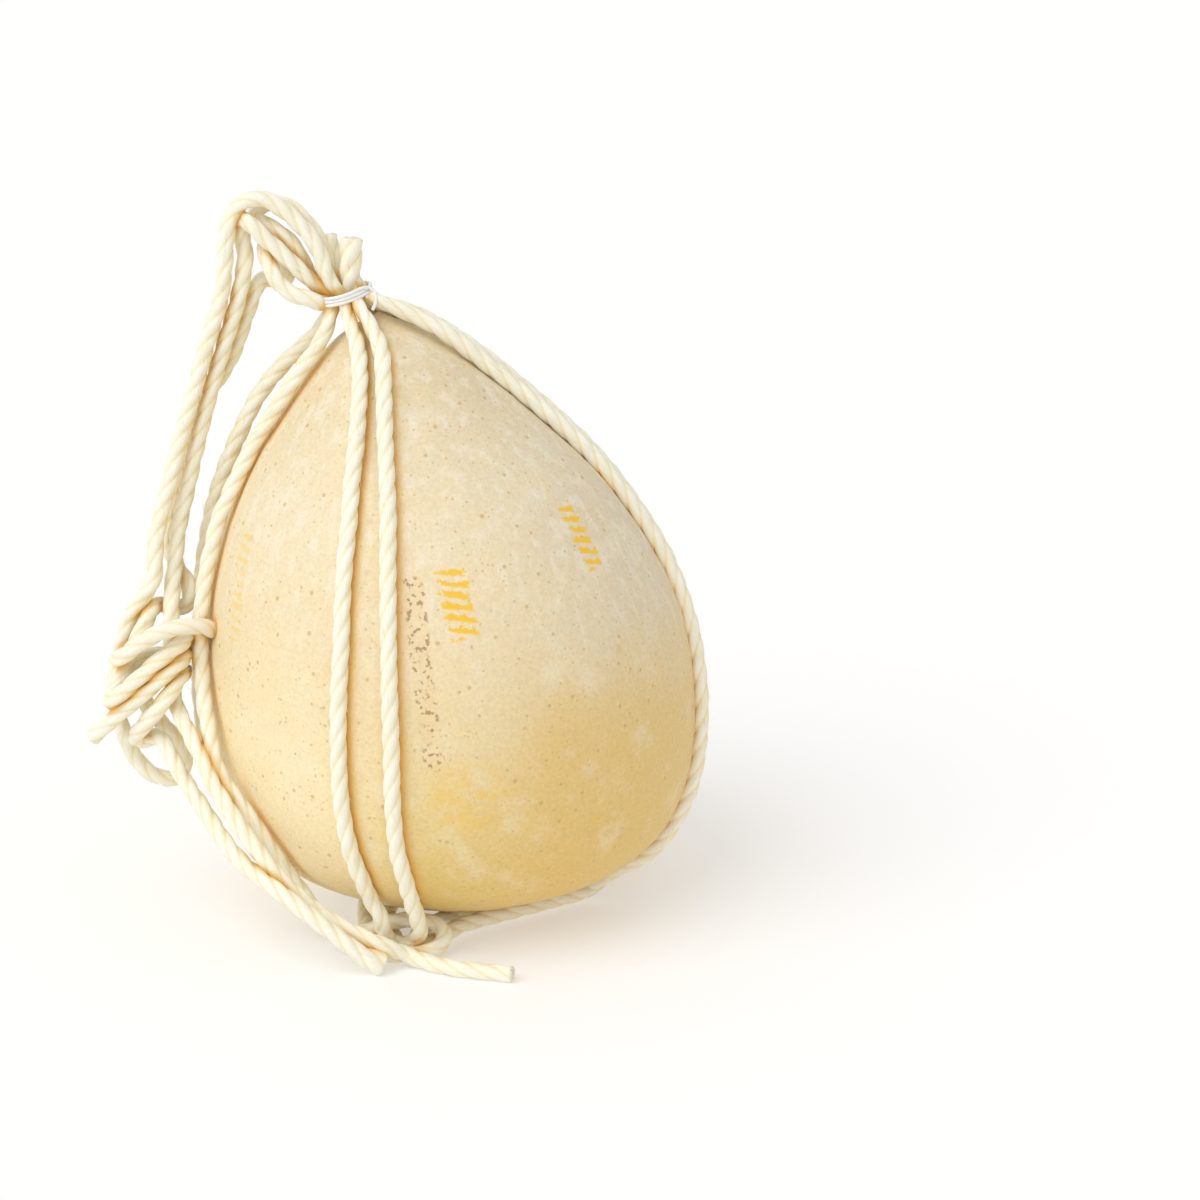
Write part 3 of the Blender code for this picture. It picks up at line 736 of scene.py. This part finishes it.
ball = np.zeros(len(cheese.data.vertices) * 3)
cheese.data.vertices.foreach_get("co", ball)
ball = ball.reshape(-1, 3)
whole_outline = np.vstack([
    np.stack([np.linspace(0, PROFILE[0, 0], 20, endpoint=False), np.zeros(20)], axis=1), PROFILE])
outline_run = np.concatenate(
    [[0], np.cumsum(np.linalg.norm(np.diff(whole_outline, axis=0), axis=1))])
# A share of the way from pole to pole on the ball is the same share of the way up the outline.
share = 1 - np.arccos(np.clip(ball[:, 2], -1, 1)) / pi
radius = np.interp(share * outline_run[-1], outline_run, whole_outline[:, 0])
height = np.interp(share * outline_run[-1], outline_run, whole_outline[:, 1])
turn = np.arctan2(ball[:, 1], ball[:, 0])
body = np.stack([lean_at(height) + radius * np.cos(turn), radius * np.sin(turn), height], axis=1)

slope_r = np.gradient(whole_outline[:, 0], outline_run)
slope_h = np.gradient(whole_outline[:, 1], outline_run)
out_r = np.interp(share * outline_run[-1], outline_run, slope_h)
out_h = -np.interp(share * outline_run[-1], outline_run, slope_r)
outward = np.stack([out_r * np.cos(turn), out_r * np.sin(turn), out_h], axis=1)
outward /= np.linalg.norm(outward, axis=1)[:, None]

found = [tree_of_lines.find(point) for point in body]
clear = np.array([distance for _, _, distance in found]) - CORD / 2 + 0.15
right_of_cord = body[:, 0] - np.array([spot[0] for spot, _, _ in found])
shadow_side = np.where(body[:, 0] > 40, 1.0, np.clip(0.25 + right_of_cord / 2.0, 0.1, 1.0))
near = np.minimum(clear, PRESS_REACH)
press = 0.5 * (np.sqrt(near**2 + PRESS_SOFTNESS**2) - near)
swell = 0.22 * np.exp(-((near - 3.2) / 1.6) ** 2)
uneven = np.array([
    0.45 * noise.noise(Vector(point) / 34) + 0.16 * noise.noise(Vector(point) / 9 + Vector((5, 2, 9)))
    + 0.05 * noise.noise(Vector(point) / 2.6)
    for point in body
])
steady = np.clip(body[:, 2] / 6.0, 0, 1)
body += outward * (-press + (swell + uneven) * steady)[:, None]
body[:, 2] = np.maximum(body[:, 2], 0.0)
cheese.data.vertices.foreach_set("co", (body * MM).ravel())
# Painted shadow for the rind's colour: strong close beside the ropes, mostly on their side away from
# the light.
cheese.data.attributes.new("beside_cord", "FLOAT", "POINT").data.foreach_set(
    "value", (shadow_side * np.exp(-np.maximum(near, 0) / 1.9)).astype(np.float32))
cheese.data.shade_smooth()

# The yellow dab columns: top and bottom on the cheese as turn and height, width, strength.
DAB_COLUMNS = (
    ((-82.4, 120), (-81.5, 102), 9.5, 1.0),
    ((-37.0, 130.5), (-38.5, 114), 7.5, 1.0),
    ((-152, 121), (-147, 92), 7.0, 0.4),
)
DAB_SPACING = 3.4
SPECK_COLUMN = ((-92.6, 118), (-92.0, 65))
SPECK_WIDTH = 7.0


def column_place(tree, place, top, bottom):
    """Coordinates of a column on the rind, in millimetres: across it, down it and outwards."""
    high, low = (Vector(on_cheese(turn, height, 0.0)) for turn, height in (top, bottom))
    down = (low - high).normalized()
    middle_turn = radians((top[0] + bottom[0]) / 2)
    out = Vector((cos(middle_turn), sin(middle_turn), 0.0))
    across = down.cross(out).normalized()
    out = across.cross(down)
    turned = Matrix((across, down, out)).transposed().to_euler()
    made = add_node(
        tree, "ShaderNodeMapping",
        {"Vector": place, "Location": high, "Rotation": turned}, vector_type="TEXTURE")
    split = add_node(tree, "ShaderNodeSeparateXYZ", {"Vector": made.outputs[0]})
    return split.outputs[0], split.outputs[1], split.outputs[2], (low - high).length


def column_mask(tree, across, down, out, width, length):
    """1 inside a column on the rind, and 0 outside it or on the far side of the cheese."""
    sides = between(tree, maths(tree, "ABSOLUTE", across), width / 2, width / 2 - 1.2)
    top = between(tree, down, -0.6, 0.6)
    bottom = between(tree, down, length + 0.8, length - 0.4)
    shown = maths(tree, "GREATER_THAN", out, -20.0)
    mask = maths(tree, "MULTIPLY", sides, top)
    mask = maths(tree, "MULTIPLY", mask, bottom)
    return maths(tree, "MULTIPLY", mask, shown)


def rind_material():
    mat = bpy.data.materials.new("provolone_rind")
    mat.use_nodes = True
    tree = mat.node_tree
    shader = tree.nodes["Principled BSDF"]
    coords = add_node(tree, "ShaderNodeTexCoord")
    place = add_node(
        tree, "ShaderNodeMapping",
        {"Vector": coords.outputs["Object"], "Scale": (1000.0, 1000.0, 1000.0)}).outputs[0]
    beside = add_node(tree, "ShaderNodeAttribute", attribute_name="beside_cord").outputs["Fac"]
    split = add_node(tree, "ShaderNodeSeparateXYZ", {"Vector": place})

    def cloud(scale, detail=3.0, rough=0.5, shift=(0, 0, 0)):
        moved = add_node(tree, "ShaderNodeMapping", {"Vector": place, "Location": shift})
        made = add_node(
            tree, "ShaderNodeTexNoise",
            {"Vector": moved.outputs[0], "Scale": scale, "Detail": detail, "Roughness": rough})
        return made.outputs[0]

    broad = cloud(0.022, 2.0)
    wavy = maths(tree, "ADD", split.outputs[2], maths(tree, "MULTIPLY",
                 maths(tree, "SUBTRACT", broad, 0.5), 55.0))
    ramp = tree.nodes.new("ShaderNodeValToRGB")
    tree.links.new(maths(tree, "DIVIDE", wavy, 180.0, clamp=True), ramp.inputs[0])
    stops = (
        (0.02, (0.64, 0.42, 0.085)), (0.16, (0.76, 0.56, 0.18)), (0.34, (0.82, 0.66, 0.33)),
        (0.55, (0.84, 0.71, 0.46)), (0.75, (0.84, 0.73, 0.51)), (0.97, (0.76, 0.64, 0.42)),
    )
    while len(ramp.color_ramp.elements) < len(stops):
        ramp.color_ramp.elements.new(0.5)
    for element, (at, colour) in zip(ramp.color_ramp.elements, stops):
        element.position = at
        element.color = (*colour, 1)
    colour = ramp.outputs[0]

    # Greyer and duller towards the right, warmer at the left.
    rightward = between(tree, maths(tree, "ADD", split.outputs[0],
                                    maths(tree, "MULTIPLY", broad, 30.0)), 5.0, 85.0)
    greyed = maths(tree, "MULTIPLY", rightward,
                   between(tree, split.outputs[2], 40.0, 130.0, 0.15, 0.6))
    colour = mixed(tree, greyed, colour, (0.66, 0.57, 0.43, 1))

    # Paler low down at the left, and golden low down at the right.
    low = between(tree, wavy, 105.0, 55.0)
    leftward = between(tree, split.outputs[0], 0.0, -45.0)
    colour = mixed(tree, maths(tree, "MULTIPLY", maths(tree, "MULTIPLY", low, leftward), 0.75),
                   colour, (0.96, 0.83, 0.56, 1))
    golden = maths(tree, "MULTIPLY", low, between(tree, split.outputs[0], -8.0, 30.0))
    colour = mixed(tree, maths(tree, "MULTIPLY", golden, 0.62), colour, (0.77, 0.50, 0.13, 1))

    # Pale streaks down the upper right, where the skin dried in folds: painted highlight for the light
    # on those folds.
    drawn = add_node(tree, "ShaderNodeMapping", {"Vector": place, "Scale": (1.0, 1.0, 0.10)})
    folds = add_node(tree, "ShaderNodeTexNoise",
                     {"Vector": drawn.outputs[0], "Scale": 0.28, "Detail": 2.0}).outputs[0]
    fold_highlight = maths(tree, "MULTIPLY", between(tree, folds, 0.50, 0.66),
                   between(tree, split.outputs[2], 70.0, 125.0))
    colour = mixed(tree, maths(tree, "MULTIPLY", fold_highlight, 0.38), colour, (0.93, 0.86, 0.72, 1))

    mottle = between(tree, cloud(0.12, 4.0, 0.6, (7, 3, 1)), 0.35, 0.68)
    colour = mixed(tree, maths(tree, "MULTIPLY", mottle, 0.20), colour, (0.86, 0.64, 0.33, 1))
    pale = between(tree, cloud(0.07, 3.0, 0.55, (31, 12, 8)), 0.52, 0.72)
    colour = mixed(tree, maths(tree, "MULTIPLY", pale, 0.30), colour, (0.90, 0.83, 0.66, 1))
    grain = between(tree, cloud(0.9, 3.0, 0.7), 0.3, 0.7, 0.93, 1.04)
    colour = mixed(tree, 1.0, colour, add_node(
        tree, "ShaderNodeCombineColor", {0: grain, 1: grain, 2: grain}).outputs[0], "MULTIPLY")

    # Freckles: one dot in some cells, of uneven size and strength.
    def freckles(cell, size, share, strength, tint, shift):
        nonlocal colour
        moved = add_node(tree, "ShaderNodeMapping", {"Vector": place, "Location": shift})
        dots = add_node(tree, "ShaderNodeTexVoronoi",
                        {"Vector": moved.outputs[0], "Scale": 1 / cell, "Randomness": 1.0})
        rand = add_node(tree, "ShaderNodeSeparateColor", {"Color": dots.outputs["Color"]})
        picked = between(tree, maths(tree, "ADD", rand.outputs[0], maths(
            tree, "MULTIPLY", maths(tree, "SUBTRACT", cloud(0.035, 2.0, 0.5, shift), 0.5), 1.4)),
            1 - share, 1 - share + 0.06)
        wide = maths(tree, "MULTIPLY", maths(tree, "ADD", rand.outputs[1], 0.5), size / cell)
        edge = maths(tree, "SUBTRACT", wide, dots.outputs["Distance"])
        dot = between(tree, edge, 0.0, 0.7 * size / cell)
        depth = maths(tree, "MULTIPLY", maths(tree, "MULTIPLY", dot, picked), strength)
        colour = mixed(tree, depth, colour, tint)
        return maths(tree, "MULTIPLY", dot, picked)

    pits = freckles(3.2, 0.60, 0.60, 0.62, (0.56, 0.36, 0.14, 1), (3, 9, 4))
    freckles(9.0, 1.3, 0.35, 0.30, (0.62, 0.44, 0.20, 1), (13, 1, 24))
    freckles(1.7, 0.36, 0.55, 0.6, (0.62, 0.42, 0.17, 1), (1, 19, 14))

    # Worn yellow dabs, slanting up to the right, in columns.
    ragged = cloud(0.55, 3.0, 0.65, (2, 4, 6))
    for top, bottom, width, strength in DAB_COLUMNS:
        across, down, out, length = column_place(tree, place, top, bottom)
        stray = maths(tree, "MULTIPLY", maths(tree, "SUBTRACT", ragged, 0.5), 7.0)
        mask = column_mask(tree, maths(tree, "ADD", across, stray), down, out, width, length)
        slant = maths(tree, "ADD", maths(tree, "ADD", down, maths(tree, "MULTIPLY", stray, 0.5)),
                      maths(tree, "MULTIPLY", across, 0.35))
        wave = maths(tree, "SINE", maths(tree, "MULTIPLY", slant, 2 * pi / DAB_SPACING))
        dab = between(tree, maths(tree, "ADD", wave, maths(
            tree, "MULTIPLY", maths(tree, "SUBTRACT", ragged, 0.5), 3.0)), -0.7, 0.5)
        worn = maths(tree, "MULTIPLY", maths(tree, "MULTIPLY", mask, dab), strength)
        colour = mixed(tree, worn, colour, (0.90, 0.56, 0.05, 1))

    # Brown specks and short strokes in one long column.
    across, down, out, length = column_place(tree, place, *SPECK_COLUMN)
    mask = column_mask(tree, across, down, out, SPECK_WIDTH, length)
    strokes = between(tree, cloud(0.60, 1.5, 0.5, (4, 14, 3)), 0.545, 0.62)
    patchy = between(tree, cloud(0.16, 1.0, 0.5, (44, 4, 3)), 0.36, 0.50)
    depth = maths(tree, "MULTIPLY", maths(tree, "MULTIPLY", strokes, patchy), mask)
    colour = mixed(tree, maths(tree, "MULTIPLY", depth, 0.8), colour, (0.26, 0.15, 0.06, 1))
    stained = maths(tree, "MULTIPLY", mask, 0.22)
    colour = mixed(tree, stained, colour, (0.83, 0.58, 0.27, 1))

    # Orange-brown blotches low in front, and a dark rubbed place at the lower left.
    for spot, reach, scale, tint, strength in (
        ((5.0, -71.0, 56.0), 15.0, 0.16, (0.84, 0.54, 0.10, 1), 0.50),
        ((-48.4, -38.7, 23.5), 4.5, 0.45, (0.22, 0.14, 0.09, 1), 0.85),
    ):
        away = add_node(tree, "ShaderNodeVectorMath", {0: place, 1: spot}, operation="DISTANCE")
        near_spot = between(tree, away.outputs["Value"], reach, reach * 0.45)
        patch = between(tree, cloud(scale, 3.0, 0.6, (8, 5, 21)), 0.40, 0.62)
        depth = maths(tree, "MULTIPLY", maths(tree, "MULTIPLY", near_spot, patch), strength)
        colour = mixed(tree, depth, colour, tint)

    # Painted shadow: amber beside the ropes, strongest on their side away from the light.
    amber = maths(tree, "MULTIPLY", between(tree, beside, 0.12, 0.8), 0.92)
    colour = mixed(tree, amber, colour, (0.93, 0.55, 0.13, 1))
    tree.links.new(colour, shader.inputs["Base Color"])

    fine = cloud(1.4, 3.0, 0.6)
    relief = maths(tree, "ADD", maths(tree, "MULTIPLY", fine, 0.5),
                   maths(tree, "MULTIPLY", cloud(0.35, 3.0, 0.6), 0.9))
    relief = maths(tree, "SUBTRACT", relief, maths(tree, "MULTIPLY", pits, 0.6))
    bump = add_node(
        tree, "ShaderNodeBump", {"Height": relief, "Distance": 0.18 * MM, "Strength": 0.5})
    tree.links.new(bump.outputs[0], shader.inputs["Normal"])
    rough = between(tree, mottle, 0.0, 1.0, 0.46, 0.60)
    tree.links.new(rough, shader.inputs["Roughness"])
    shader.inputs["Specular IOR Level"].default_value = 0.35
    shader.inputs["Subsurface Weight"].default_value = 0.25
    shader.inputs["Subsurface Radius"].default_value = (1.0, 0.55, 0.22)
    shader.inputs["Subsurface Scale"].default_value = 3.5 * MM
    return mat


cheese.data.materials.append(rind_material())
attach(cheese, "root")
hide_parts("cheese")


# --- Floor and light ----------------------------------------------------------------------
# A pale floor, a bright even room, and wide soft window light from the upper left.

bpy.ops.object.select_all(action="DESELECT")
bpy.ops.mesh.primitive_plane_add(size=8.0)
floor = bpy.context.object
floor.name = "floor"
floor_paint = bpy.data.materials.new("pale_floor")
floor_paint.use_nodes = True
floor_shader = floor_paint.node_tree.nodes["Principled BSDF"]
floor_shader.inputs["Base Color"].default_value = (0.64, 0.635, 0.63, 1)
floor_shader.inputs["Emission Color"].default_value = (1.0, 0.995, 0.985, 1)
floor_shader.inputs["Emission Strength"].default_value = 0.36
floor_shader.inputs["Roughness"].default_value = 0.9
floor_shader.inputs["Specular IOR Level"].default_value = 0.1
floor.data.materials.append(floor_paint)


sunlight = bpy.data.lights.new("window", "SUN")
sunlight.energy = 1.35
sunlight.angle = radians(50)
sunlight.color = (1.0, 0.995, 0.98)
window = bpy.data.objects.new("window", sunlight)
window.rotation_euler = Vector((0.62, 0.62, -1.0)).to_track_quat("-Z", "Y").to_euler()
scene.collection.objects.link(window)
world = bpy.data.worlds.new("room")
world.use_nodes = True
world.node_tree.nodes["Background"].inputs["Color"].default_value = (1.0, 1.0, 1.0, 1)
world.node_tree.nodes["Background"].inputs["Strength"].default_value = 0.70
scene.world = world
scene.view_settings.view_transform = "Standard"
